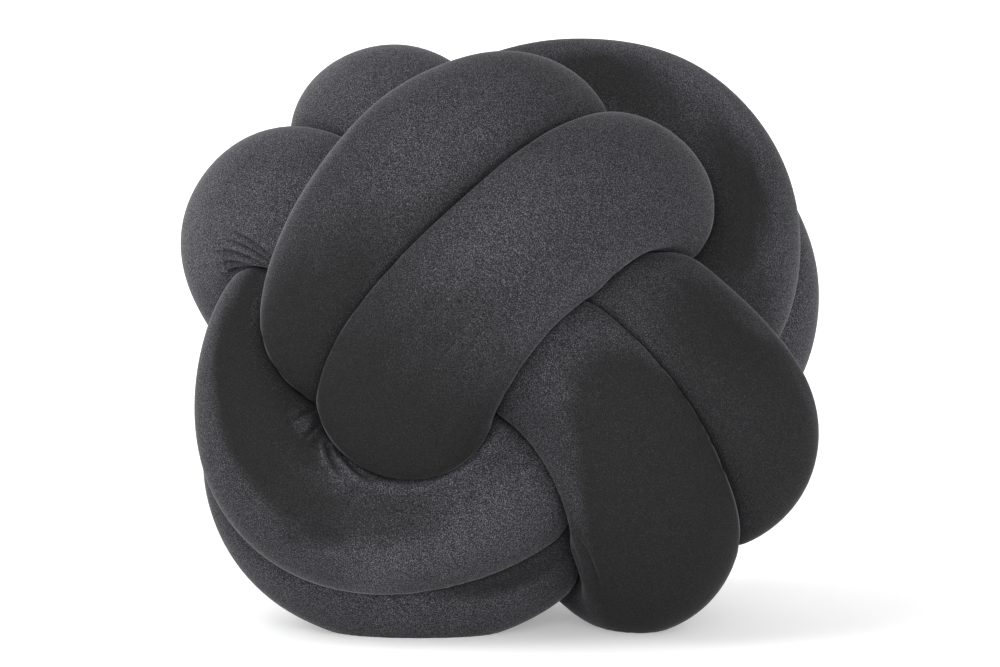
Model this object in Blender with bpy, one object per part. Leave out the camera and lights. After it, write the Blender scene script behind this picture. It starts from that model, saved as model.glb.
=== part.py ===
"""Knot cushion: one long stuffed velvet tube worked into a ball knot.

The tube makes three flat rings at right angles to each other, two turns in
each.  Every ring passes over one neighbour and under the other, so the ball
shows twelve rounded passes, two side by side on each of its six faces.  The
strands are soft: where two of them meet, both flatten against the plane
between them, and where nothing presses they are broader than they are tall.

Units are metres and degrees.  The ball rests on the floor at z = 0 and its
front looks toward -Y.
"""
from collections import namedtuple

import bpy
import numpy as np

# ---- driving sizes of the strand -------------------------------------------
TALL = 0.0350           # from the middle of the strand to its outer face, where nothing presses
BROAD = 0.0420          # the same to its sides
DEEP = 0.0480           # the same toward the middle of the ball
HARDNESS = 16.0         # higher keeps the strand full for longer before it flattens
SKIN_GAP = 0.0016       # air left between two strands that press on each other
HEART_GAP = 0.0060      # the same deep inside, where the strands fill less
HEART_FROM = 0.060      # middle of the strand nearer than this: all HEART_GAP
HEART_TO = 0.090        # and farther than this: all SKIN_GAP
THINNEST = 0.0020       # no side of the strand is pressed closer to its middle

# ---- driving sizes of the knot, measured from the middle of the ball -------
CROWN = 0.1255          # to the middle of a strand at the top of a pass
SHOULDER = 0.0985       # to the middle of a strand where a pass begins and ends
WAIST = 0.0555          # to a strand where it runs under another ring
LANE_CROWN = 0.0310     # from the middle of a ring to either of its two turns
LANE_SHOULDER = 0.0255  # the same at a shoulder
LANE_WAIST = 0.0225     # the same under another ring

# ---- how the ball lies ------------------------------------------------------
LIE_TURNS = (("x", 45.6), ("y", -40.9), ("z", 27.1))
FLOOR_SINK = 0.0060     # how far the weight flattens the lowest strands

# ---- fineness of the mesh ---------------------------------------------------
STEPS_ALONG = 264
STEPS_AROUND = 20
PRESS_STEPS = 2 * STEPS_ALONG   # points of the route that the strand is pressed by
PRESS_FROM = 0.014              # nearest point, along the strand, that counts

MM = 0.001

# One row for each pass over the outside of the ball, in the order in which the
# tube makes them.  face: side of the ball; heads: the way the tube runs; lane:
# which of the two turns.  The rest says how this pass differs from an even one:
# lift moves it outward and slide moves it toward its own lane, in mm, at its
# start, crown and end; turn_in and turn_out are the angles of its shoulders.
Pass = namedtuple("Pass", (
    "name face heads lane "
    "lift_in lift lift_out slide_in slide slide_out turn_in turn_out"))
PASSES = (
    Pass("D1", "+x", "-y", "+z", 2, 1, 4, -5, -1, 0, 45, 45),
    Pass("B1", "-x", "+y", "+z", -11, -1, -8, 1, 0, 5, 45, 45),
    Pass("D2", "+x", "-y", "-z", -6, 9, 12, -7, 2, 0, 45, 45),
    Pass("B2", "-x", "+y", "-z", -1, 1, 10, -6, -10, 10, 45, 34),
    Pass("E2", "+y", "+z", "-x", 8, 0, -6, 19, 4, 0, 27, 45),
    Pass("C1", "-y", "-z", "-x", 3, 0, 8, -12, -4, -11, 45, 45),
    Pass("E1", "+y", "+z", "+x", -5, -2, -8, -4, 14, 5, 45, 45),
    Pass("C2", "-y", "-z", "+x", 2, 2, 4, -6, -2, 0, 45, 34),
    Pass("F2", "-z", "-x", "-y", 8, 1, 0, 22, 0, 0, 26, 45),
    Pass("A2", "+z", "+x", "-y", 9, -9, -1, -2, -3, 5, 45, 45),
    Pass("F1", "-z", "-x", "+y", 0, 0, 0, 0, 0, 0, 45, 45),
    Pass("A1", "+z", "+x", "+y", -4, -1, -10, 0, -6, 4, 45, 45),
)

# The two ends of the tube meet in the heart of the ball, where they are sewn
# together: points between the end of the last pass and the start of the first.
HEART = (
    (0.046, 0.030, 0.026),
    (0.012, 0.022, -0.022),
    (-0.014, 0.020, -0.012),
    (-0.006, 0.027, 0.031),
    (0.014, 0.049, 0.037),
)


def axis(word):
    """Unit vector for a word such as '-y'."""
    vector = np.zeros(3)
    vector["xyz".index(word[1])] = 1.0 if word[0] == "+" else -1.0
    return vector


def pass_points(row):
    """Start, crown and end of one pass over the outside."""
    out = axis(row.face)
    run = axis(row.heads)
    side = axis(row.lane)
    angle_in = np.radians(row.turn_in)
    angle_out = np.radians(row.turn_out)
    radius_in = SHOULDER + row.lift_in * MM
    radius_out = SHOULDER + row.lift_out * MM
    start = radius_in * (np.cos(angle_in) * out - np.sin(angle_in) * run)
    start = start + (LANE_SHOULDER + row.slide_in * MM) * side
    crown = (CROWN + row.lift * MM) * out + (LANE_CROWN + row.slide * MM) * side
    end = radius_out * (np.cos(angle_out) * out + np.sin(angle_out) * run)
    end = end + (LANE_SHOULDER + row.slide_out * MM) * side
    return [start, crown, end]


def link_points(row, following):
    """Points under another ring, between one pass and the following one."""
    if following is PASSES[0]:
        return [np.array(point) for point in HEART]
    straight_on = np.allclose(axis(following.face), -axis(row.face))
    if not straight_on:
        return []                       # the tube turns into its next ring
    lanes = 0.5 * (axis(row.lane) + axis(following.lane))
    return [WAIST * axis(row.heads) + LANE_WAIST * lanes]


def route_points():
    """All the points that the middle of the tube runs through, once round."""
    points = []
    for number, row in enumerate(PASSES):
        following = PASSES[(number + 1) % len(PASSES)]
        points.extend(pass_points(row))
        points.extend(link_points(row, following))
    return np.array(points)


def spline_at(points, knots, where):
    """Smooth closed curve through the points, read at the given distances."""
    count = len(points)
    gaps = np.diff(knots)
    matrix = np.zeros((count, count))
    bends = np.zeros((count, 3))
    for i in range(count):
        before = gaps[i - 1]
        after = gaps[i]
        ahead = (i + 1) % count
        matrix[i, i - 1] += before
        matrix[i, i] += 2.0 * (before + after)
        matrix[i, ahead] += after
        slope_after = (points[ahead] - points[i]) / after
        slope_before = (points[i] - points[i - 1]) / before
        bends[i] = 6.0 * (slope_after - slope_before)
    moments = np.linalg.solve(matrix, bends)
    span = np.searchsorted(knots, where, side="right") - 1
    span = np.clip(span, 0, count - 1)
    ahead = (span + 1) % count
    gap = gaps[span][:, None]
    right = (where - knots[span])[:, None] / gap
    left = 1.0 - right
    curve = left * points[span] + right * points[ahead]
    curve = curve + (left ** 3 - left) * gap ** 2 / 6.0 * moments[span]
    return curve + (right ** 3 - right) * gap ** 2 / 6.0 * moments[ahead]


def closed_curve(points, count):
    """Evenly spaced points on the smooth closed curve, and its length."""
    chords = np.linalg.norm(np.roll(points, -1, axis=0) - points, axis=1)
    knots = np.concatenate([[0.0], np.cumsum(chords)])
    fine = np.linspace(0.0, knots[-1], 4001)
    curve = spline_at(points, knots, fine)
    steps = np.linalg.norm(np.diff(curve, axis=0), axis=1)
    along = np.concatenate([[0.0], np.cumsum(steps)])
    length = along[-1]
    distance = np.arange(count) / count * length
    return spline_at(points, knots, np.interp(distance, along, fine)), distance, length


def carry(side, here, ahead, tangent, tangent_ahead):
    """Carry a sideways direction one step along the curve without twist."""
    step = ahead - here
    size = step @ step
    side = side - 2.0 / size * (step @ side) * step
    tangent = tangent - 2.0 / size * (step @ tangent) * step
    turn = tangent_ahead - tangent
    size = turn @ turn
    if size < 1e-12:
        return side
    return side - 2.0 / size * (turn @ side) * turn


def cross_axes(curve):
    """Two directions across the strand at each point, closing without a jump."""
    count = len(curve)
    tangents = np.roll(curve, -1, axis=0) - np.roll(curve, 1, axis=0)
    tangents /= np.linalg.norm(tangents, axis=1)[:, None]
    sides = np.zeros_like(curve)
    first = np.cross(tangents[0], axis("+z"))
    sides[0] = first / np.linalg.norm(first)
    for i in range(count - 1):
        sides[i + 1] = carry(sides[i], curve[i], curve[i + 1], tangents[i], tangents[i + 1])
    home = carry(sides[-1], curve[-1], curve[0], tangents[-1], tangents[0])
    twist = np.arctan2(home @ np.cross(tangents[0], sides[0]), home @ sides[0])
    spread = (-twist * np.arange(count) / count)[:, None]
    ups = np.cross(tangents, sides)
    sides = np.cos(spread) * sides + np.sin(spread) * ups
    return sides, np.cross(tangents, sides)


def strand_skin(points):
    """Rings of skin points: an oval strand flattened by its neighbours."""
    curve, distance, length = closed_curve(points, STEPS_ALONG)
    pressing, press_distance, _ = closed_curve(points, PRESS_STEPS)
    sides, ups = cross_axes(curve)
    angle = np.arange(STEPS_AROUND) / STEPS_AROUND * 2.0 * np.pi
    rays = (np.cos(angle)[None, :, None] * sides[:, None]
            + np.sin(angle)[None, :, None] * ups[:, None])
    apart = pressing[None] - curve[:, None]
    square = (apart ** 2).sum(axis=2)
    between = np.abs(press_distance[None] - distance[:, None])
    between = np.minimum(between, length - between)
    square[between < PRESS_FROM] = np.inf
    toward = np.einsum("amk,abk->amb", rays, apart)
    toward = np.where(toward > 1e-9, toward, 1e-9)
    depth = np.linalg.norm(curve, axis=1)[:, None]
    inside = np.clip((HEART_TO - depth) / (HEART_TO - HEART_FROM), 0.0, 1.0)
    gap = SKIN_GAP + (HEART_GAP - SKIN_GAP) * inside
    # distance along each ray to the plane half way to the nearest neighbour
    wall = (square[:, None] / (2.0 * toward)).min(axis=2) - gap / 2.0
    wall = np.maximum(wall, THINNEST)
    outward = curve / depth
    rise = np.einsum("amk,ak->am", rays, outward)
    upright = np.where(rise > 0.0, TALL, DEEP)
    free = (rise ** 2 / upright ** 2 + (1.0 - rise ** 2) / BROAD ** 2) ** -0.5
    radius = (free ** -HARDNESS + wall ** -HARDNESS) ** (-1.0 / HARDNESS)
    return curve[:, None] + radius[..., None] * rays


def turned(points, about, degrees):
    """Points turned about one axis through the middle of the ball."""
    first, second = {"x": (1, 2), "y": (2, 0), "z": (0, 1)}[about]
    angle = np.radians(degrees)
    result = points.copy()
    result[..., first] = np.cos(angle) * points[..., first] - np.sin(angle) * points[..., second]
    result[..., second] = np.sin(angle) * points[..., first] + np.cos(angle) * points[..., second]
    return result


def laid_on_floor(skin):
    """The ball as it lies, its lowest strands flattened on the floor."""
    for about, degrees in LIE_TURNS:
        skin = turned(skin, about, degrees)
    low = skin.min(axis=(0, 1))
    high = skin.max(axis=(0, 1))
    skin[..., 0] -= 0.5 * (low[0] + high[0])
    skin[..., 1] -= 0.5 * (low[1] + high[1])
    skin[..., 2] -= low[2] + FLOOR_SINK
    skin[..., 2] = np.maximum(skin[..., 2], 0.0)
    return skin


def velvet():
    """Plain charcoal cloth colour for the solid."""
    material = bpy.data.materials.new("velvet")
    material.use_nodes = True
    shader = material.node_tree.nodes["Principled BSDF"]
    shader.inputs["Base Color"].default_value = (0.055, 0.055, 0.060, 1.0)
    shader.inputs["Roughness"].default_value = 0.95
    return material


def knotted_strand():
    """The one solid of the cushion."""
    skin = laid_on_floor(strand_skin(route_points()))
    along, around = skin.shape[:2]
    faces = []
    for i in range(along):
        for j in range(around):
            here = i * around + j
            beside = i * around + (j + 1) % around
            ahead = (i + 1) % along * around + j
            corner = (i + 1) % along * around + (j + 1) % around
            faces.append((here, beside, corner))
            faces.append((here, corner, ahead))
    mesh = bpy.data.meshes.new("knotted_strand")
    mesh.from_pydata(skin.reshape(-1, 3).tolist(), [], faces)
    mesh.update()
    strand = bpy.data.objects.new("knotted_strand", mesh)
    strand.data.materials.append(velvet())
    bpy.context.scene.collection.objects.link(strand)
    return strand


for leftover in list(bpy.data.objects):
    bpy.data.objects.remove(leftover, do_unlink=True)
knotted_strand()
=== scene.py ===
# %% [markdown]
# # Knot cushion in charcoal velvet
# The real cushion is one long stuffed tube of short-pile velvet, worked into a
# ball knot with two turns each way. This lesson makes it in Blender: first the
# path of the tube, then its soft skin, then the velvet, and last a pale studio.
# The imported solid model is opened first, because everything has to fit its box.

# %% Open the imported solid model
from collections import namedtuple

import bpy
import numpy as np
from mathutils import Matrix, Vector, noise


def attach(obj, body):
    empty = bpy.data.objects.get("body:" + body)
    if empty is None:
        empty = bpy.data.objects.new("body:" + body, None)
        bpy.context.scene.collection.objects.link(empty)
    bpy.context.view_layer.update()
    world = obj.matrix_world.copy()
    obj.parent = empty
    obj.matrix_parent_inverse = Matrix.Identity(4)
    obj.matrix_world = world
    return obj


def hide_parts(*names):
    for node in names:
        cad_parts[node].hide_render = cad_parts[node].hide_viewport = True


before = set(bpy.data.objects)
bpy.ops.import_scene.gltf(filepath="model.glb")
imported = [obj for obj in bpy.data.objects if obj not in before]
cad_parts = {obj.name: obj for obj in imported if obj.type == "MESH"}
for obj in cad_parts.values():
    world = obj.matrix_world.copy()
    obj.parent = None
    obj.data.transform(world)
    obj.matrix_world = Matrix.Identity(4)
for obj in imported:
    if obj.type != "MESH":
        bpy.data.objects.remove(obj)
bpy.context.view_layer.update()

MM = 0.001

# %% [markdown]
# ## The path of the tube
# The ball is three flat rings at right angles to each other, two turns in each,
# and every ring goes over one neighbour and under the other. A curve could be
# drawn by hand through the knot, but a table with one row for each of the twelve
# passes that show on the outside keeps the rings true, and each row can still
# say how its pass differs from an even one. These are the same numbers that the
# solid model was made from, so that the skin comes out in the same place.
# Many of them weren't chosen by hand. A scratch program searched for TALL, CROWN,
# SHOULDER, WAIST, the LANE sizes, nearly all the lifts and slides, the turns that
# lay the ball down, and the camera's lens and aim, so that the passes fell on
# outlines drawn over the photo. A second search moved the points of HEART until
# the strands had room there. The results were rounded. Rows set by hand, one pass
# at a time from an even one, would be easier to follow and to change.

# %% Sizes of the tube and the knot, in metres
TALL = 0.0350           # from the middle of the tube to its outer face, where nothing presses
BROAD = 0.0420          # the same to its sides
DEEP = 0.0480           # the same toward the middle of the ball
HARDNESS = 16.0         # higher keeps the tube full for longer before it flattens
SKIN_GAP = 0.0016       # air left between two strands that press on each other
HEART_GAP = 0.0060      # the same deep inside, where the strands fill less
HEART_FROM = 0.060      # middle of the strand nearer than this: all HEART_GAP
HEART_TO = 0.090        # and farther than this: all SKIN_GAP
THINNEST = 0.0020       # no side of the tube is pressed closer to its middle
CROWN = 0.1255          # middle of the ball to the tube's middle at the top of a pass
SHOULDER = 0.0985       # the same where a pass begins and ends
WAIST = 0.0555          # the same where it runs under another ring
LANE_CROWN = 0.0310     # from the middle of a ring to either of its two turns
LANE_SHOULDER = 0.0255  # the same at a shoulder
LANE_WAIST = 0.0225     # the same under another ring

# %% The twelve passes
# lift moves a pass outward and slide moves it toward its own lane, in mm, at its
# start, crown and end; turn_in and turn_out are the angles of its shoulders.
Pass = namedtuple("Pass", (
    "name face heads lane "
    "lift_in lift lift_out slide_in slide slide_out turn_in turn_out"))
PASSES = (
    Pass("D1", "+x", "-y", "+z", 2, 1, 4, -5, -1, 0, 45, 45),
    Pass("B1", "-x", "+y", "+z", -11, -1, -8, 1, 0, 5, 45, 45),
    Pass("D2", "+x", "-y", "-z", -6, 9, 12, -7, 2, 0, 45, 45),
    Pass("B2", "-x", "+y", "-z", -1, 1, 10, -6, -10, 10, 45, 34),
    Pass("E2", "+y", "+z", "-x", 8, 0, -6, 19, 4, 0, 27, 45),
    Pass("C1", "-y", "-z", "-x", 3, 0, 8, -12, -4, -11, 45, 45),
    Pass("E1", "+y", "+z", "+x", -5, -2, -8, -4, 14, 5, 45, 45),
    Pass("C2", "-y", "-z", "+x", 2, 2, 4, -6, -2, 0, 45, 34),
    Pass("F2", "-z", "-x", "-y", 8, 1, 0, 22, 0, 0, 26, 45),
    Pass("A2", "+z", "+x", "-y", 9, -9, -1, -2, -3, 5, 45, 45),
    Pass("F1", "-z", "-x", "+y", 0, 0, 0, 0, 0, 0, 45, 45),
    Pass("A1", "+z", "+x", "+y", -4, -1, -10, 0, -6, 4, 45, 45),
)
# The two ends of the tube meet in the heart of the ball, between A1 and D1.
HEART = (
    (0.046, 0.030, 0.026),
    (0.012, 0.022, -0.022),
    (-0.014, 0.020, -0.012),
    (-0.006, 0.027, 0.031),
    (0.014, 0.049, 0.037),
)
print("passes over the outside:", len(PASSES))

# %% Points that the middle of the tube runs through
def axis(word):
    """Unit vector for a word such as '-y'."""
    vector = np.zeros(3)
    vector["xyz".index(word[1])] = 1.0 if word[0] == "+" else -1.0
    return vector


def pass_points(row):
    """Start, crown and end of one pass over the outside."""
    out, run, side = axis(row.face), axis(row.heads), axis(row.lane)
    angle_in, angle_out = np.radians(row.turn_in), np.radians(row.turn_out)
    start = (SHOULDER + row.lift_in * MM) * (np.cos(angle_in) * out - np.sin(angle_in) * run)
    start = start + (LANE_SHOULDER + row.slide_in * MM) * side
    crown = (CROWN + row.lift * MM) * out + (LANE_CROWN + row.slide * MM) * side
    end = (SHOULDER + row.lift_out * MM) * (np.cos(angle_out) * out + np.sin(angle_out) * run)
    end = end + (LANE_SHOULDER + row.slide_out * MM) * side
    return [start, crown, end]


def link_points(row, following):
    """Points under another ring, between one pass and the following one."""
    if following is PASSES[0]:
        return [np.array(point) for point in HEART]
    if not np.allclose(axis(following.face), -axis(row.face)):
        return []                       # the tube turns into its next ring
    lanes = 0.5 * (axis(row.lane) + axis(following.lane))
    return [WAIST * axis(row.heads) + LANE_WAIST * lanes]


points, crown_number = [], {}
for number, row in enumerate(PASSES):
    crown_number[row.name] = len(points) + 1
    points += pass_points(row) + link_points(row, PASSES[(number + 1) % len(PASSES)])
points = np.array(points)
print("points on the path:", len(points))

# %% [markdown]
# ## One smooth closed curve
# A tube under tension bends evenly, with no kinks, so the points are joined by a
# closed cubic spline, whose curvature is the same on both sides of every point.
# Blender's own curves don't say how far along them a place is, and the creases,
# the brushed marks and the patches of painted light and shade are later placed by
# that distance, so the spline is made here.

# %% The spline, read at any distance along the tube
def spline_bends(points, gaps):
    """Second slopes of the closed spline at its points."""
    count = len(points)
    matrix, bends = np.zeros((count, count)), np.zeros((count, 3))
    for i in range(count):
        before, after, ahead = gaps[i - 1], gaps[i], (i + 1) % count
        matrix[i, i - 1] += before
        matrix[i, i] += 2.0 * (before + after)
        matrix[i, ahead] += after
        bends[i] = 6.0 * ((points[ahead] - points[i]) / after
                          - (points[i] - points[i - 1]) / before)
    return np.linalg.solve(matrix, bends)


gaps = np.linalg.norm(np.roll(points, -1, axis=0) - points, axis=1)
knots = np.concatenate([[0.0], np.cumsum(gaps)])
bends = spline_bends(points, gaps)


def spline_at(where):
    """Places on the spline, by its own parameter."""
    span = np.clip(np.searchsorted(knots, where, side="right") - 1, 0, len(points) - 1)
    ahead = (span + 1) % len(points)
    gap = gaps[span][:, None]
    right = (where - knots[span])[:, None] / gap
    left = 1.0 - right
    curve = left * points[span] + right * points[ahead]
    curve = curve + (left ** 3 - left) * gap ** 2 / 6.0 * bends[span]
    return curve + (right ** 3 - right) * gap ** 2 / 6.0 * bends[ahead]


FINE_STEPS = 4001
fine = np.linspace(0.0, knots[-1], FINE_STEPS)
travel = np.linalg.norm(np.diff(spline_at(fine), axis=0), axis=1)
travel = np.concatenate([[0.0], np.cumsum(travel)])
LENGTH = travel[-1]


def on_path(distance):
    """Places on the spline, by the distance along the tube in metres."""
    return spline_at(np.interp(distance, travel, fine))


crown_at = {name: np.interp(knots[n], fine, travel) for name, n in crown_number.items()}
print(f"the tube is {LENGTH:.2f} m long")

# %% [markdown]
# ## Where the fabric is gathered
# Where the tube bends hard beside a tight crossing, the velvet is pushed into
# short creases: a fan of them at the left, a few beside the middle crossing and
# one long fold at the foot of the front pass. They are real folds of the cloth,
# so they are cut into the shape itself and not only shaded.

# %% The creases
# Each row gives a crease by its two ends, in mm ahead of the crown of a pass and
# in degrees to the right of the tube's outer side, looking along the tube. It is
# deepest near its first end. wide, deep and bow are in mm.
Crease = namedtuple("Crease", "on ahead right ahead_to right_to wide deep bow")
CREASES = (
    Crease("E2", 90, 54, 58, 48, 1.2, 1.6, 1.0),
    Crease("E2", 90, 59, 53, 57, 1.3, 2.1, 1.5),
    Crease("E2", 88, 65, 45, 67, 1.4, 2.6, 2.0),
    Crease("E2", 82, 72, 38, 78, 1.5, 3.0, 2.0),
    Crease("E2", 74, 79, 33, 90, 1.6, 3.0, 2.0),
    Crease("B1", 20, 104, 12, 76, 1.3, 1.6, 1.0),
    Crease("B1", 10, 102, 2, 74, 1.5, 1.8, -1.0),
    Crease("B1", -6, 95, -28, 67, 1.5, 2.4, 1.0),
    Crease("B1", -20, 90, -41, 67, 1.6, 2.4, 1.0),
    Crease("C1", -30, 84, 16, 80, 2.4, 1.6, -3.0),
)
print("creases:", len(CREASES))

# %% [markdown]
# ## Where the skin needs fine rings
# The skin is a row of rings along the curve. Most of the tube's inner half never
# shows, so its rings are far apart there, and they are closest where the fabric
# is gathered into creases. That keeps the mesh under 200,000 triangles.

# %% Distances of the rings along the tube
RINGS = 1160            # rings along the whole tube
RING_POINTS = 84        # points in each ring
HIDDEN_SHARE = 0.22     # density of the rings in the middle of the ball
SHOWS_FROM = 0.075      # distance from the middle of the ball where the tube starts to show
SHOWS_TO = 0.095        # and where it is in full view
CREASE_SHARE = 1.1      # extra density of the rings at the creases
FADE = 0.030            # distance over which the extra density fades


def ramp(value, low, high):
    """0 below low, 1 above high, and smooth between."""
    step = np.clip((value - low) / (high - low), 0.0, 1.0)
    return step * step * (3.0 - 2.0 * step)


def along_gap(distance, place):
    """Signed distance along the closed tube from a place on it."""
    return (distance - place + 0.5 * LENGTH) % LENGTH - 0.5 * LENGTH


def gathered(distance):
    """1 beside the creases, 0 far from them, and their side of the tube in radians."""
    near, side = np.zeros_like(distance), np.zeros_like(distance)
    for row in CREASES:
        middle = crown_at[row.on] + 0.5 * (row.ahead + row.ahead_to) * MM
        reach = 0.5 * abs(row.ahead_to - row.ahead) * MM
        share = 1.0 - ramp(np.abs(along_gap(distance, middle)), reach, reach + FADE)
        side = np.where(share > near, np.radians(0.5 * (row.right + row.right_to)), side)
        near = np.maximum(near, share)
    return near, side


probe = np.arange(FINE_STEPS) / FINE_STEPS * LENGTH
shown = ramp(np.linalg.norm(on_path(probe), axis=1), SHOWS_FROM, SHOWS_TO)
density = HIDDEN_SHARE + (1.0 - HIDDEN_SHARE) * shown + CREASE_SHARE * gathered(probe)[0]
total = np.concatenate([[0.0], np.cumsum(density)])
distance = np.interp(np.arange(RINGS) / RINGS * total[-1], total,
                     np.append(probe, LENGTH))
centre = on_path(distance)
spacing = np.diff(distance) / MM
print(f"ring spacing {spacing.min():.1f} to {spacing.max():.1f} mm")

# %% Directions across the tube, carried along it without twist
NO_TURN = 1e-12         # square of a turn too small to count


def carry(side, here, ahead, tangent, tangent_ahead):
    """Carry a sideways direction one step along the curve without twist."""
    step = ahead - here
    side = side - 2.0 / (step @ step) * (step @ side) * step
    tangent = tangent - 2.0 / (step @ step) * (step @ tangent) * step
    turn = tangent_ahead - tangent
    if turn @ turn < NO_TURN:
        return side
    return side - 2.0 / (turn @ turn) * (turn @ side) * turn


tangent = on_path((distance + MM) % LENGTH) - on_path((distance - MM) % LENGTH)
tangent /= np.linalg.norm(tangent, axis=1)[:, None]
sides = np.zeros_like(centre)
sides[0] = np.cross(tangent[0], axis("+z"))
sides[0] /= np.linalg.norm(sides[0])
for i in range(RINGS - 1):
    sides[i + 1] = carry(sides[i], centre[i], centre[i + 1], tangent[i], tangent[i + 1])
home = carry(sides[-1], centre[-1], centre[0], tangent[-1], tangent[0])
twist = np.arctan2(home @ np.cross(tangent[0], sides[0]), home @ sides[0])
spread = (-twist * distance / LENGTH)[:, None]
sides = np.cos(spread) * sides + np.sin(spread) * np.cross(tangent, sides)
ups = np.cross(tangent, sides)
print(f"twist taken out along the tube: {np.degrees(twist):.0f} degrees")

# %% Rays from the middle of the tube, closer together on its outer side
OUTER_CROWDING = 0.38   # 0 spaces the points of a ring evenly
CREASE_CROWDING = 0.25  # added beside the creases, toward their side of the tube

depth = np.linalg.norm(centre, axis=1)[:, None]
outward = centre / depth
facing_out = np.arctan2((outward * ups).sum(1), (outward * sides).sum(1))[:, None]
angle = np.arange(RING_POINTS) / RING_POINTS * 2.0 * np.pi
near, side = (value[:, None] for value in gathered(distance))
crowding = OUTER_CROWDING * ramp(depth, SHOWS_FROM, SHOWS_TO) + CREASE_CROWDING * near
angle = angle[None] - crowding * np.sin(angle[None] - facing_out - near * side)
rays = np.cos(angle)[..., None] * sides[:, None] + np.sin(angle)[..., None] * ups[:, None]
around = (angle - facing_out + np.pi) % (2.0 * np.pi) - np.pi
print("rays:", rays.shape[:2])

# %% [markdown]
# ## The soft skin
# Two stuffed strands that press on each other meet in a wall half way between
# them, and stay round everywhere else. A cloth simulation would swell every
# strand at once and fuse those that touch, so the wall is worked out directly:
# for each ray, the nearest plane half way to any other part of the tube.

# %% How far each ray runs before a neighbour's wall stops it
PRESS_STEPS = 1056      # places on the tube that press on the others
PRESS_FROM = 0.014      # nearest place, along the tube, that counts
BATCH = 40              # rings worked out at once
NEARLY_SIDEWAYS = 1e-9  # stands in for rays that lead away from a neighbour
RUB = (0.001, 0.045)    # skin pushed in by this share counts as not pressed, and as pressed

press_distance = np.arange(PRESS_STEPS) / PRESS_STEPS * LENGTH
pressing = on_path(press_distance)
wall = np.zeros(rays.shape[:2])
for first in range(0, RINGS, BATCH):
    some = slice(first, first + BATCH)
    apart = pressing[None] - centre[some, None]
    square = (apart ** 2).sum(axis=2)
    square[np.abs(along_gap(distance[some, None], press_distance[None])) < PRESS_FROM] = np.inf
    toward = np.maximum(rays[some] @ apart.transpose(0, 2, 1), NEARLY_SIDEWAYS)
    wall[some] = (square[:, None] / (2.0 * toward)).min(axis=2)

inside = np.clip((HEART_TO - depth) / (HEART_TO - HEART_FROM), 0.0, 1.0)
wall = wall - 0.5 * (SKIN_GAP + (HEART_GAP - SKIN_GAP) * inside)
wall = np.maximum(wall, THINNEST)
rise = np.einsum("amk,ak->am", rays, outward)
upright = np.where(rise > 0.0, TALL, DEEP)
free = (rise ** 2 / upright ** 2 + (1.0 - rise ** 2) / BROAD ** 2) ** -0.5
radius = (free ** -HARDNESS + wall ** -HARDNESS) ** (-1.0 / HARDNESS)
pressed = ramp(1.0 - radius / free, *RUB)   # 1 where another strand presses
print(f"radius of the tube: {radius.min() / MM:.0f} to {radius.max() / MM:.0f} mm")

# %% [markdown]
# ## Stuffing that is never quite even
# Hand-stuffed fibre leaves shallow swells, a few centimetres long. A gentle
# three-dimensional noise, read on the skin itself, has no repeats and no seams.

# %% Shallow swells
SWELL_SIZE = 0.055      # length of a swell
SWELL_DEPTH = 0.0009    # how far it lifts the skin

skin = centre[:, None] + radius[..., None] * rays
swell = np.array([noise.noise(Vector(point) / SWELL_SIZE) for point in skin.reshape(-1, 3)])
radius = radius + SWELL_DEPTH * swell.reshape(radius.shape)
skin = centre[:, None] + radius[..., None] * rays
print(f"swells up to {SWELL_DEPTH * np.abs(swell).max() / MM:.1f} mm")

# %% Creases cut into the skin
# closed is 1 in the valley of a crease and raised is 1 on the cloth beside it.
# Both are used again to paint shade into the valley and light onto the cloth
# beside it.
TUBE = 0.040            # usual distance from the tube's middle to its skin
FADE_IN = (-0.10, 0.15)     # shares of a crease's length over which it sets in
FADE_OUT = (0.35, 1.00)     # and over which it runs out
RISE = 0.40             # cloth pushed up beside a crease, as a share of its depth
RISE_OFF = 2.2          # how far beside it, as a share of its width
RISE_WIDE = 1.1         # and how wide, in the same way


def unrolled(on, ahead, right):
    """Distance of every skin point from a place, along the tube and round it, in mm."""
    along = along_gap(distance, crown_at[on] + ahead * MM)[:, None] / MM
    beside = (around - np.radians(right) + np.pi) % (2.0 * np.pi) - np.pi
    return np.broadcast_to(along, beside.shape), beside * TUBE / MM


closed, raised = np.zeros(radius.shape), np.zeros(radius.shape)
for row in CREASES:
    along, beside = unrolled(row.on, row.ahead, row.right)
    run = np.array([row.ahead_to - row.ahead, np.radians(row.right_to - row.right) * TUBE / MM])
    size = np.hypot(*run)
    share = (along * run[0] + beside * run[1]) / size ** 2
    off = (beside * run[0] - along * run[1]) / size
    t = np.clip(share, 0.0, 1.0)
    off = np.abs(off - row.bow * 4.0 * t * (1.0 - t))
    fade = ramp(share, *FADE_IN) * (1.0 - ramp(share, *FADE_OUT))
    valley = np.exp(-(off / row.wide) ** 2)
    beside_it = np.exp(-((off - RISE_OFF * row.wide) / (RISE_WIDE * row.wide)) ** 2)
    radius = radius - row.deep * MM * fade * (valley - RISE * beside_it)
    closed = np.maximum(closed, fade * valley)
    raised = np.maximum(raised, fade * beside_it)
skin = centre[:, None] + radius[..., None] * rays
print("creases cut:", len(CREASES))

# %% [markdown]
# ## Laid on the floor
# The ball is turned until it lies as in the photo, and its own weight flattens
# the lowest strands by a few millimetres.

# %% Turn the ball and set it down
LIE_TURNS = (("x", 45.6), ("y", -40.9), ("z", 27.1))
FLOOR_SINK = 0.0060     # how far the weight flattens the lowest strands


def turned(points, about, degrees):
    """Points turned about one axis through the middle of the ball."""
    first, second = {"x": (1, 2), "y": (2, 0), "z": (0, 1)}[about]
    cos, sin = np.cos(np.radians(degrees)), np.sin(np.radians(degrees))
    result = points.copy()
    result[..., first] = cos * points[..., first] - sin * points[..., second]
    result[..., second] = sin * points[..., first] + cos * points[..., second]
    return result


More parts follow.
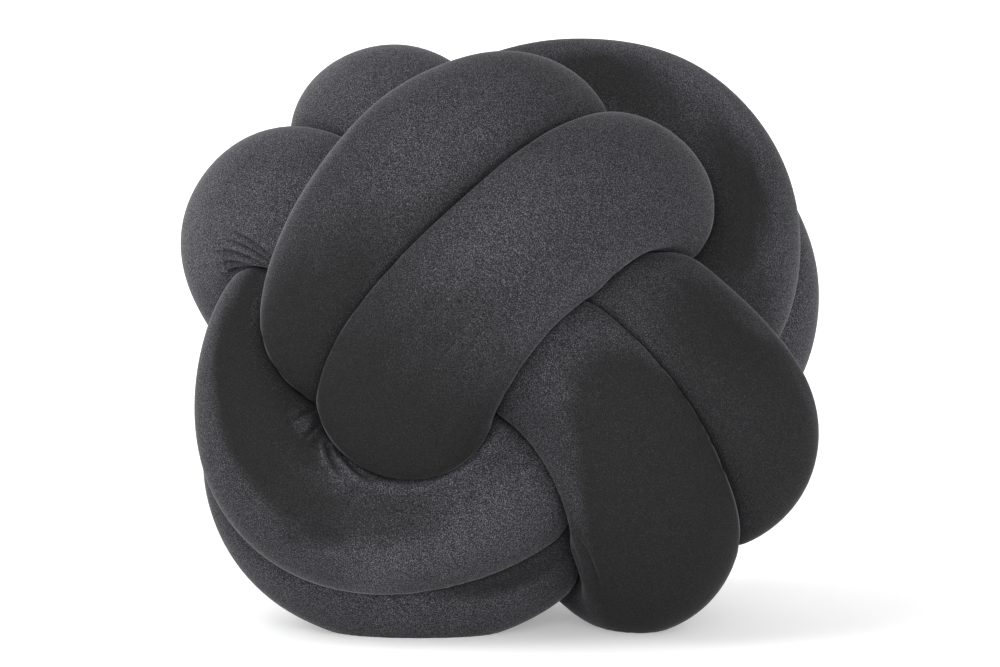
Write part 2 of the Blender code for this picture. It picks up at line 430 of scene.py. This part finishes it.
for about, degrees in LIE_TURNS:
    skin = turned(skin, about, degrees)
low, high = skin.min(axis=(0, 1)), skin.max(axis=(0, 1))
ball_middle = Vector((-0.5 * (low[0] + high[0]), -0.5 * (low[1] + high[1]),
                      -(low[2] + FLOOR_SINK)))
skin = skin + np.array(ball_middle)
skin[..., 2] = np.maximum(skin[..., 2], 0.0)
print("middle of the ball in mm:", [round(part / MM, 1) for part in ball_middle])

# %% [markdown]
# ## Which way the pile lies, and painted light and shade
# Velvet is light where its pile leans toward the light and nearly black where it
# leans the other way. Sewing, stuffing and handling stroke it all along the tube,
# so each pass has its own tone, with brushed patches on it. The same tones also
# paint light and shade into the colour: light strips along edges where the light
# grazes, and dark ends where a pass dives under its neighbour. Painting them on the
# mesh would do as well; a table, filled in while comparing with the photo, keeps
# every patch in its place on the tube.

# %% Tone of each pass at its crown, 0 dark to 1 light: the pile's own tone with painted light and shade
PASS_TONE_AND_LIGHT = {"D1": 0.46, "B1": 0.38, "D2": 0.76, "B2": 0.38, "E2": 0.80, "C1": 0.05,
       "E1": 0.80, "C2": 0.06, "F2": 0.45, "A2": 0.38, "F1": 0.45, "A1": 0.35}
pass_tone_places = sorted((crown_at[name], tone) for name, tone in PASS_TONE_AND_LIGHT.items())
tone_and_light = np.interp(distance, [place for place, _ in pass_tone_places],
                [tone for _, tone in pass_tone_places], period=LENGTH)
tone_and_light = np.repeat(tone_and_light[:, None], RING_POINTS, axis=1)
print(f"tone along the tube: {tone_and_light.min():.2f} to {tone_and_light.max():.2f}")

# %% Brushed patches, and patches of painted light and shade
# Each row places one patch like a crease: mm ahead of the crown and degrees to
# the right. long and wide are half its length and width in mm, turn its heading
# in degrees, soft the share of that over which it fades, tone how light it is
# from 0 to 1, and keep how much of it shows. Some patches are the way the pile
# lies. Others are painted light and shade: narrow light strips along edges are
# painted highlights, and dark patches where a pass runs under its neighbour are
# painted shade.
Patch = namedtuple("Patch", "on ahead right long wide turn soft tone keep")
PATCHES = (
    Patch("A1", -84, 28, 62, 42, 35, 0.45, 0.02, 1.0),
    # painted highlight along the top edge of A1, where the light grazes
    Patch("A1", -36, -54, 40, 7, 0, 0.80, 0.80, 0.8),
    Patch("A1", 10, -4, 28, 32, 0, 0.60, 0.56, 0.7),
    Patch("A1", -40, 58, 44, 7, 0, 0.50, 0.20, 0.6),
    # painted shade on the lower end of A2, where it dives under B1
    Patch("A2", -112, 10, 72, 90, 0, 0.50, 0.00, 1.0),
    Patch("A2", -8, -16, 26, 22, 0, 0.60, 0.52, 0.7),
    Patch("A2", 50, 10, 20, 34, 0, 0.60, 0.38, 0.6),
    Patch("A2", 10, 66, 46, 7, 0, 0.50, 0.60, 0.6),
    Patch("D1", 72, 68, 46, 17, 0, 0.35, 0.00, 1.0),
    Patch("D1", -4, 90, 60, 12, 0, 0.45, 0.08, 0.9),
    Patch("D1", 0, 50, 40, 9, 0, 0.60, 0.80, 0.6),
    Patch("D1", 104, 30, 14, 24, 0, 0.50, 0.10, 0.85),
    Patch("D1", -26, 84, 26, 13, 0, 0.45, 0.03, 0.9),
    Patch("D1", 16, 72, 12, 5, 20, 0.60, 0.40, 0.5),
    Patch("D1", 84, 2, 20, 14, 0, 0.50, 0.60, 0.7),
    Patch("C1", -112, 5, 26, 60, 0, 0.10, 0.36, 0.95),
    Patch("C1", -80, 78, 36, 8, 0, 0.40, 0.40, 0.8),
    Patch("C1", -80, -32, 18, 3, 0, 0.60, 0.34, 0.7),
    Patch("C1", -9, 6, 84, 50, 0, 0.07, 0.01, 1.0),
    Patch("C2", -112, 0, 26, 60, 0, 0.25, 0.28, 0.9),
    Patch("C2", -56, -56, 26, 6, 0, 0.60, 0.30, 0.8),
    Patch("C2", -22, 10, 66, 46, 0, 0.20, 0.05, 1.0),
    Patch("C2", -68, -16, 20, 20, 0, 0.50, 0.00, 0.8),
    Patch("C2", -84, -20, 7, 5, 30, 0.50, 0.02, 0.8),
    Patch("C2", -60, -40, 10, 5, -30, 0.60, 0.26, 0.6),
    Patch("C2", -24, -34, 16, 5, 20, 0.60, 0.20, 0.6),
    Patch("B1", -72, 14, 44, 26, 0, 0.50, 0.60, 0.8),
    Patch("B1", -38, -4, 8, 22, 12, 0.60, 0.75, 0.6),
    Patch("B1", 33, 54, 64, 15, 0, 0.42, 0.00, 1.0),
    Patch("B1", 30, 84, 50, 17, 0, 0.30, 0.00, 1.0),
    Patch("B1", -17, 40, 16, 13, 0, 0.40, 0.02, 0.95),
    Patch("B1", -46, 44, 20, 11, 0, 0.60, 0.14, 0.8),
    Patch("B1", -12, 22, 4, 9, 0, 0.60, 0.12, 0.7),
    Patch("B1", 40, 6, 30, 8, 0, 0.60, 0.45, 0.5),
    Patch("B1", 66, 6, 14, 9, 20, 0.50, 0.60, 0.8),
    Patch("B1", 12, 88, 8, 4, 0, 0.60, 0.40, 0.6),
    Patch("B1", -67, 68, 26, 6.5, 0, 0.35, 1.00, 0.7),
    Patch("B1", -13, 80, 12, 1.8, 43, 0.60, 0.55, 0.8),
    Patch("B1", -26, 77, 9, 1.8, 37, 0.60, 0.65, 0.8),
    Patch("B1", -86, 60, 9, 2, 50, 0.60, 0.20, 0.6),
    Patch("B2", -50, 24, 22, 12, 0, 0.60, 0.58, 0.7),
    Patch("B2", -90, 58, 36, 8, 0, 0.40, 0.00, 0.95),
    Patch("B2", -104, 34, 14, 18, 0, 0.50, 0.20, 0.7),
    Patch("B2", 4, 34, 16, 9, 0, 0.60, 0.55, 0.7),
    Patch("E2", 30, 0, 22, 60, 0, 0.60, 0.95, 0.6),
    Patch("E2", 66, -6, 12, 9, 0, 0.60, 0.50, 0.6),
    Patch("E2", 88, 4, 9, 46, 0, 0.50, 0.50, 0.7),
    Patch("E2", 62, 78, 18, 6, -20, 0.60, 0.40, 0.6),
    Patch("E1", 66, -5, 9, 18, 0, 0.50, 0.62, 0.7),
)
print("patches of tone, painted light and shade:", len(PATCHES))

# %% Tone of every point of the skin
WISP_LONG = 0.030       # length of the wisps in a patch's edge
WISP_WIDE = 0.009       # and their width
WISP = 7.0              # how far they eat into it, in mm
WISP_MOST = 0.3         # and no more than this share of its size
WISP_SOFT = 0.3         # patches with harder edges than this have shorter wisps
WISPS_WITHIN = 2.0      # no wisps are worked out farther out, in sizes of the patch
WISP_ROUGHNESS = 0.7    # how much weaker each finer size of wisp is
WISP_STEPS = 4          # how many sizes of wisp, each half the one before
NEXT_WISPS = 7.3        # gives every patch wisps of its own
# The next three paint light and shade into the tone: light where two strands press on each
# other, shade in the valley of a crease, and light on the cloth pushed up beside it.
PRESSED_PAINTED_LIGHT = 0.09        # tone won where two strands rub and ruffle the pile
CREASE_PAINTED_SHADE = 0.88      # tone lost where a crease closes the pile
CREASE_PAINTED_LIGHT = 0.25     # and won on the cloth pushed up beside it
CLOUD_SIZE = 0.028      # lighter and darker clouds everywhere
CLOUD = 0.08            # their strength where the pile is lightest
CLOUD_ROUGHNESS = 0.6   # how much weaker each finer size of cloud is
CLOUD_STEPS = 3         # how many sizes of cloud, each half the one before
FINER = 2.0             # from one size of wisp or cloud to the next


def wisps(along, beside, seed):
    """Streaky noise in the plane of the unrolled tube, about -0.5 to 0.5."""
    places = zip(along * MM / WISP_LONG, beside * MM / WISP_WIDE)
    return [noise.fractal((x, y, seed), WISP_ROUGHNESS, FINER, WISP_STEPS) for x, y in places]


for number, row in enumerate(PATCHES):
    along, beside = unrolled(row.on, row.ahead, row.right)
    turn = np.radians(row.turn)
    far = np.hypot((np.cos(turn) * along + np.sin(turn) * beside) / row.long,
                   (np.cos(turn) * beside - np.sin(turn) * along) / row.wide)
    close_by = far < WISPS_WITHIN
    edge = np.zeros_like(far)
    edge[close_by] = wisps(along[close_by], beside[close_by], NEXT_WISPS * number)
    reach = min(WISP / np.sqrt(row.long * row.wide), WISP_MOST)
    far = far + reach * min(1.0, row.soft / WISP_SOFT) * edge
    share = row.keep * (1.0 - ramp(far, 1.0 - row.soft, 1.0 + row.soft))
    tone_and_light = tone_and_light + share * (row.tone - tone_and_light)
# painted light where strands press, painted shade in crease valleys, painted light beside them
tone_and_light = tone_and_light + PRESSED_PAINTED_LIGHT * pressed * (1.0 + tone_and_light)
tone_and_light = tone_and_light * (1.0 - CREASE_PAINTED_SHADE * closed) + CREASE_PAINTED_LIGHT * raised * tone_and_light
cloud = np.array([
    noise.fractal(Vector(point) / CLOUD_SIZE, CLOUD_ROUGHNESS, FINER, CLOUD_STEPS)
    for point in skin.reshape(-1, 3)])
tone_and_light = np.clip(tone_and_light + CLOUD * cloud.reshape(tone_and_light.shape) * tone_and_light, 0.0, 1.0)
print(f"tone of the skin: {tone_and_light.min():.2f} to {tone_and_light.max():.2f}")

# %% [markdown]
# ## The mesh
# The rings become one closed surface of four-sided faces, with smooth shading.

# %% Build the velvet strand
ring = np.arange(RINGS)[:, None]
spot = np.arange(RING_POINTS)[None]
next_ring, next_spot = (ring + 1) % RINGS, (spot + 1) % RING_POINTS
faces = np.stack([ring * RING_POINTS + spot, ring * RING_POINTS + next_spot,
                  next_ring * RING_POINTS + next_spot, next_ring * RING_POINTS + spot],
                 axis=-1).reshape(-1, 4)
mesh = bpy.data.meshes.new("velvet_strand")
mesh.from_pydata(skin.reshape(-1, 3).tolist(), [], faces.tolist())
mesh.update()
mesh.shade_smooth()
pile_tone_and_light = mesh.attributes.new("pile_tone_and_light", "FLOAT", "POINT")
pile_tone_and_light.data.foreach_set("value", tone_and_light.reshape(-1).astype(np.float32))
strand = bpy.data.objects.new("velvet_strand", mesh)
bpy.context.scene.collection.objects.link(strand)
print("triangles:", 2 * len(faces))

# %% [markdown]
# ## Velvet
# Velvet is a pile of short fibres that stand up from the cloth. It is nearly
# black where they point at the eye and lighter where they lean and show their
# sides, so its colour is mixed from a dark and a light pile by a tone that holds
# both the way it lies and painted light and shade. Fine speckle stands for the
# tufts, and shows most where the pile is light. Near the edge of a strand the
# tips are seen from the side and catch the light. The shader's sheen does that
# evenly all over. The real glow is broad on light pile and only a thin line on
# dark pile, so this sheen is painted into the colour near the edges, and the
# shader's own sheen is kept very low.

# %% Node helpers
def add(tree, kind, name, settings=(), values=()):
    """A node with its settings and the values of its unlinked sockets."""
    node = tree.nodes.new(kind)
    node.name = node.label = name
    for key, value in dict(settings).items():
        setattr(node, key, value)
    for key, value in dict(values).items():
        node.inputs[key].default_value = value
    return node


def mix_colours(tree, name, clamped):
    """A colour mix: sockets for its share, first and second colour, and result."""
    node = add(tree, "ShaderNodeMix", name, {"data_type": "RGBA", "clamp_factor": clamped})
    into = {socket.identifier: socket for socket in node.inputs}
    out = {socket.identifier: socket for socket in node.outputs}
    return into["Factor_Float"], into["A_Color"], into["B_Color"], out["Result_Color"]


# %% The velvet's shader
VELVET_ROUGHNESS = 0.9
VELVET_SPECULAR = 0.05  # fibres have almost no mirror-like shine
SHEEN = 0.01
SHEEN_ROUGHNESS = 0.35
SHEEN_TINT = (0.90, 0.92, 1.0, 1.0)

velvet = bpy.data.materials.new("charcoal_velvet")
velvet.use_nodes = True
tree = velvet.node_tree
shader = tree.nodes["Principled BSDF"]
shader.inputs["Roughness"].default_value = VELVET_ROUGHNESS
shader.inputs["Specular IOR Level"].default_value = VELVET_SPECULAR
shader.inputs["Sheen Weight"].default_value = SHEEN
shader.inputs["Sheen Roughness"].default_value = SHEEN_ROUGHNESS
shader.inputs["Sheen Tint"].default_value = SHEEN_TINT
print("velvet:", velvet.name)

# %% Speckle of single tufts, and tufts that stick together
SPECKLE_SIZE = 0.00042  # about one tuft of the pile
SPECKLE_DARK = 0.2      # noise that counts as the darkest speckle
SPECKLE_LIGHT = 0.8     # and as the lightest
SPECKLE_POWER = 2.6     # higher makes the light tips sparser
SPECKLE_GAIN = 4.7      # tone of the lightest speckle
SPECKLE_LEAST = 0.03    # and of the darkest
TUFT_SIZE = 0.0019      # tufts that stick together
TUFT_DETAIL = 2.0       # finer noise added to them
TUFT_ROUGHNESS = 0.6    # and how strong it is
TUFT_DARK, TUFT_LIGHT = 0.25, 0.75      # noise that counts as the darkest and lightest
TUFT_LOW, TUFT_HIGH = 0.96, 1.04        # and their tones

place = add(tree, "ShaderNodeTexCoord", "place")
speckle = add(tree, "ShaderNodeTexNoise", "pile speckle",
              values={"Scale": 1.0 / SPECKLE_SIZE, "Detail": 0.0})
tufts = add(tree, "ShaderNodeTexNoise", "tufts",
            values={"Scale": 1.0 / TUFT_SIZE, "Detail": TUFT_DETAIL,
                    "Roughness": TUFT_ROUGHNESS})
spread_out = add(tree, "ShaderNodeMapRange", "speckle spread",
                 values={"From Min": SPECKLE_DARK, "From Max": SPECKLE_LIGHT})
sparse = add(tree, "ShaderNodeMath", "light tips are sparse",
             {"operation": "POWER"}, {1: SPECKLE_POWER})
speckle_tone = add(tree, "ShaderNodeMath", "speckle tone",
                   {"operation": "MULTIPLY_ADD"}, {1: SPECKLE_GAIN, 2: SPECKLE_LEAST})
tuft_tone = add(tree, "ShaderNodeMapRange", "tuft tone",
                values={"From Min": TUFT_DARK, "From Max": TUFT_LIGHT,
                        "To Min": TUFT_LOW, "To Max": TUFT_HIGH})
grain = add(tree, "ShaderNodeMath", "grain", {"operation": "MULTIPLY"})
for texture in (speckle, tufts):
    tree.links.new(place.outputs["Object"], texture.inputs["Vector"])
tree.links.new(speckle.outputs["Fac"], spread_out.inputs["Value"])
tree.links.new(spread_out.outputs["Result"], sparse.inputs[0])
tree.links.new(sparse.outputs["Value"], speckle_tone.inputs[0])
tree.links.new(tufts.outputs["Fac"], tuft_tone.inputs["Value"])
tree.links.new(speckle_tone.outputs["Value"], grain.inputs[0])
tree.links.new(tuft_tone.outputs["Result"], grain.inputs[1])
print(f"speckle {SPECKLE_SIZE / MM:.2f} mm, tufts {TUFT_SIZE / MM:.1f} mm")

# %% Colour by the tone of the pile, which holds painted light and shade as well
DARK_PILE = (0.0132, 0.0130, 0.0132, 1.0)       # pile seen end on
LIGHT_PILE = (0.0525, 0.0520, 0.0585, 1.0)      # pile that leans to the light
GRAIN_FLOOR = 0.09      # grain left where the pile is darkest

lies = add(tree, "ShaderNodeAttribute", "pile tone and painted light", {"attribute_name": "pile_tone_and_light"})
lifted = add(tree, "ShaderNodeMath", "lifted", {"operation": "ADD"}, {1: GRAIN_FLOOR})
grained = add(tree, "ShaderNodeMath", "grained", {"operation": "MULTIPLY"})
lowered = add(tree, "ShaderNodeMath", "lowered", {"operation": "SUBTRACT"}, {1: GRAIN_FLOOR})
pile_share, dark_pile, light_pile, pile_colour = mix_colours(tree, "pile colour", False)
dark_pile.default_value = DARK_PILE
light_pile.default_value = LIGHT_PILE
tree.links.new(lies.outputs["Fac"], lifted.inputs[0])
tree.links.new(lifted.outputs["Value"], grained.inputs[0])
tree.links.new(grain.outputs["Value"], grained.inputs[1])
tree.links.new(grained.outputs["Value"], lowered.inputs[0])
tree.links.new(lowered.outputs["Value"], pile_share)
print("light pile is", round(LIGHT_PILE[0] / DARK_PILE[0], 1), "times as light as dark pile")

# %% Painted sheen: the tips of the pile, seen from the side
# The colour below is a painted sheen, mixed in where the surface turns edge-on to the eye: broad
# on light pile, and a thin line on all pile.
PAINTED_SHEEN_TIPS = (0.175, 0.177, 0.188, 1.0)
GLOW_POWER = 4.5        # higher keeps the glow of light pile closer to the edge
LINE_POWER = 14.0       # the same for the thin line that all pile has there
LINE_SHARE = 0.90       # strength of that line

side_on = add(tree, "ShaderNodeLayerWeight", "pile from the side", values={"Blend": 0.5})
glow = add(tree, "ShaderNodeMath", "painted sheen near the edge", {"operation": "POWER"}, {1: GLOW_POWER})
line = add(tree, "ShaderNodeMath", "painted sheen line at the edge", {"operation": "POWER"}, {1: LINE_POWER})
thin = add(tree, "ShaderNodeMath", "thin painted sheen line", {"operation": "MULTIPLY"}, {1: LINE_SHARE})
painted_sheen_strength = add(tree, "ShaderNodeMath", "share of painted sheen", {"operation": "MULTIPLY_ADD"})
painted_sheen_share, under_painted_sheen, tips, painted_sheen_colour = mix_colours(tree, "tips", True)
tips.default_value = PAINTED_SHEEN_TIPS
tree.links.new(side_on.outputs["Facing"], glow.inputs[0])
tree.links.new(side_on.outputs["Facing"], line.inputs[0])
tree.links.new(line.outputs["Value"], thin.inputs[0])
tree.links.new(glow.outputs["Value"], painted_sheen_strength.inputs[0])
tree.links.new(lowered.outputs["Value"], painted_sheen_strength.inputs[1])
tree.links.new(thin.outputs["Value"], painted_sheen_strength.inputs[2])
tree.links.new(painted_sheen_strength.outputs["Value"], painted_sheen_share)
tree.links.new(pile_colour, under_painted_sheen)
tree.links.new(painted_sheen_colour, shader.inputs["Base Color"])
print("strength of the painted sheen line at the edge:", LINE_SHARE)

# %% A little relief, and the velvet goes on the strand
BUMP_STRENGTH = 0.35
BUMP_DEPTH = 0.0004     # height of the speckle, in metres

bump = add(tree, "ShaderNodeBump", "pile bump",
           values={"Strength": BUMP_STRENGTH, "Distance": BUMP_DEPTH})
tree.links.new(speckle.outputs["Fac"], bump.inputs["Height"])
tree.links.new(bump.outputs["Normal"], shader.inputs["Normal"])
mesh.materials.append(velvet)
print("velvet nodes:", len(tree.nodes))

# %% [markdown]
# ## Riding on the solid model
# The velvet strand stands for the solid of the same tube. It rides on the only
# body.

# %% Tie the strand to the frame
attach(strand, "root")
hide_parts("knotted_strand")

# %% [markdown]
# ## Studio
# The photo has a plain white ground. A round pale sheet that curves up at its rim
# has no corner from any side, so it gives the same even ground all round, and the
# cushion's soft shadow lies on it. Far lamps would light its rim; here the paper
# itself glows a little more toward the rim, which needs no more lamps.

# %% Floor and backdrop in one round sheet
FLOOR_REACH = 3.1       # radius of the flat part
SWEEP = 0.7             # radius of the curve at its rim
SHEET_TOP = 1.5         # height of its rim
SWEEP_STEPS = 16        # steps in the curve
SHEET_SIDES = 96        # steps round the sheet

profile = [(0.5 * FLOOR_REACH, 0.0)]
for step in range(SWEEP_STEPS + 1):
    turn = 0.5 * np.pi * step / SWEEP_STEPS
    profile.append((FLOOR_REACH + SWEEP * np.sin(turn), SWEEP * (1.0 - np.cos(turn))))
profile.append((FLOOR_REACH + SWEEP, SHEET_TOP))
corners = [(0.0, 0.0, 0.0)]
for reach, height in profile:
    for side in range(SHEET_SIDES):
        turn = 2.0 * np.pi * side / SHEET_SIDES
        corners.append((reach * np.cos(turn), reach * np.sin(turn), height))
following = [(side + 1) % SHEET_SIDES for side in range(SHEET_SIDES)]
panels = [(0, 1 + side, 1 + following[side]) for side in range(SHEET_SIDES)]
for i in range(len(profile) - 1):
    inner, outer = 1 + i * SHEET_SIDES, 1 + (i + 1) * SHEET_SIDES
    panels += [(inner + side, outer + side, outer + following[side], inner + following[side])
               for side in range(SHEET_SIDES)]
sheet_mesh = bpy.data.meshes.new("studio_sheet")
sheet_mesh.from_pydata(corners, [], panels)
sheet_mesh.shade_smooth()
sheet = bpy.data.objects.new("studio_sheet", sheet_mesh)
bpy.context.scene.collection.objects.link(sheet)
print("studio sheet panels:", len(panels))

# %% Pale paper
PAPER = (0.94, 0.94, 0.94, 1.0)
PAPER_ROUGHNESS = 0.9
PAPER_SPECULAR = 0.1
GLOW_NEAR = 0.30        # glow of the paper under the cushion
GLOW_FAR = 0.45         # and from GLOW_REACH outward
GLOW_REACH = 2.6

paper = bpy.data.materials.new("pale_paper")
paper.use_nodes = True
paper_tree = paper.node_tree
paper_shader = paper_tree.nodes["Principled BSDF"]
paper_shader.inputs["Base Color"].default_value = PAPER
paper_shader.inputs["Roughness"].default_value = PAPER_ROUGHNESS
paper_shader.inputs["Specular IOR Level"].default_value = PAPER_SPECULAR
paper_shader.inputs["Emission Strength"].default_value = 1.0
paper_place = add(paper_tree, "ShaderNodeTexCoord", "place")
paper_reach = add(paper_tree, "ShaderNodeVectorMath", "distance", {"operation": "LENGTH"})
paper_glow = add(paper_tree, "ShaderNodeMapRange", "glow toward the rim",
                 values={"From Min": 0.0, "From Max": GLOW_REACH,
                         "To Min": GLOW_NEAR, "To Max": GLOW_FAR})
paper_tree.links.new(paper_place.outputs["Object"], paper_reach.inputs[0])
paper_tree.links.new(paper_reach.outputs["Value"], paper_glow.inputs["Value"])
paper_tree.links.new(paper_glow.outputs["Result"], paper_shader.inputs["Emission Color"])
sheet_mesh.materials.append(paper)
print(f"glow of the paper: {GLOW_NEAR} to {GLOW_FAR}")

# %% [markdown]
# ## Light
# The photo is lit softly from the upper left and the front. A white room gives
# most of the light. Two large square lamps add the rest: they round the strands
# a little, and the grooves between them stay dark.

# %% Soft light
ROOM = (1.0, 1.0, 1.0, 1.0)
ROOM_LIGHT = 0.56
KEY_PLACE = (-1.3, -0.9, 1.8)           # upper left, a little in front
KEY_SIZE, KEY_WATTS = 1.7, 26.0
FRONT_PLACE = (0.1, -2.3, 0.4)          # in front, low
FRONT_SIZE, FRONT_WATTS = 1.1, 48.0

world = bpy.data.worlds.new("soft_room")
world.use_nodes = True
world.node_tree.nodes["Background"].inputs["Color"].default_value = ROOM
world.node_tree.nodes["Background"].inputs["Strength"].default_value = ROOM_LIGHT
bpy.context.scene.world = world


def soft_box(name, place, size, watts):
    """A square area light that looks at the cushion."""
    light = bpy.data.lights.new(name, "AREA")
    light.size = size
    light.energy = watts
    lamp = bpy.data.objects.new(name, light)
    lamp.location = place
    aim = ball_middle - Vector(place)
    lamp.rotation_euler = aim.to_track_quat("-Z", "Y").to_euler()
    lamp.visible_camera = False
    bpy.context.scene.collection.objects.link(lamp)
    print(name, "at", place)


soft_box("key_light", KEY_PLACE, KEY_SIZE, KEY_WATTS)
soft_box("front_light", FRONT_PLACE, FRONT_SIZE, FRONT_WATTS)

# %% [markdown]
# ## Camera
# The photo looks almost level at the cushion, from near enough that the front
# strands look a little larger. A long lens at this distance gives that view.

# %% Camera at the photo's angle
CAMERA_RISE = 2.0       # degrees above the horizon
CAMERA_AWAY = 1.62      # metres from the middle of the ball
LENS = 122.3            # mm, on a sensor 36 mm wide
AIM_RIGHT = 0.0020      # the ball sits a little left of the picture's middle
AIM_UP = 0.0031         # and a little below it

forward = Vector((0.0, np.cos(np.radians(CAMERA_RISE)), -np.sin(np.radians(CAMERA_RISE))))
up = Vector((0.0, -forward.z, forward.y))
camera_data = bpy.data.cameras.new("camera")
camera_data.lens = LENS
camera = bpy.data.objects.new("camera", camera_data)
aim_at = ball_middle + Vector((AIM_RIGHT, 0.0, 0.0)) + AIM_UP * up
camera.location = aim_at - CAMERA_AWAY * forward
camera.rotation_euler = forward.to_track_quat("-Z", "Y").to_euler()
bpy.context.scene.collection.objects.link(camera)
bpy.context.scene.camera = camera
bpy.context.scene.view_settings.view_transform = "Standard"
print("camera at", [round(part, 3) for part in camera.location])
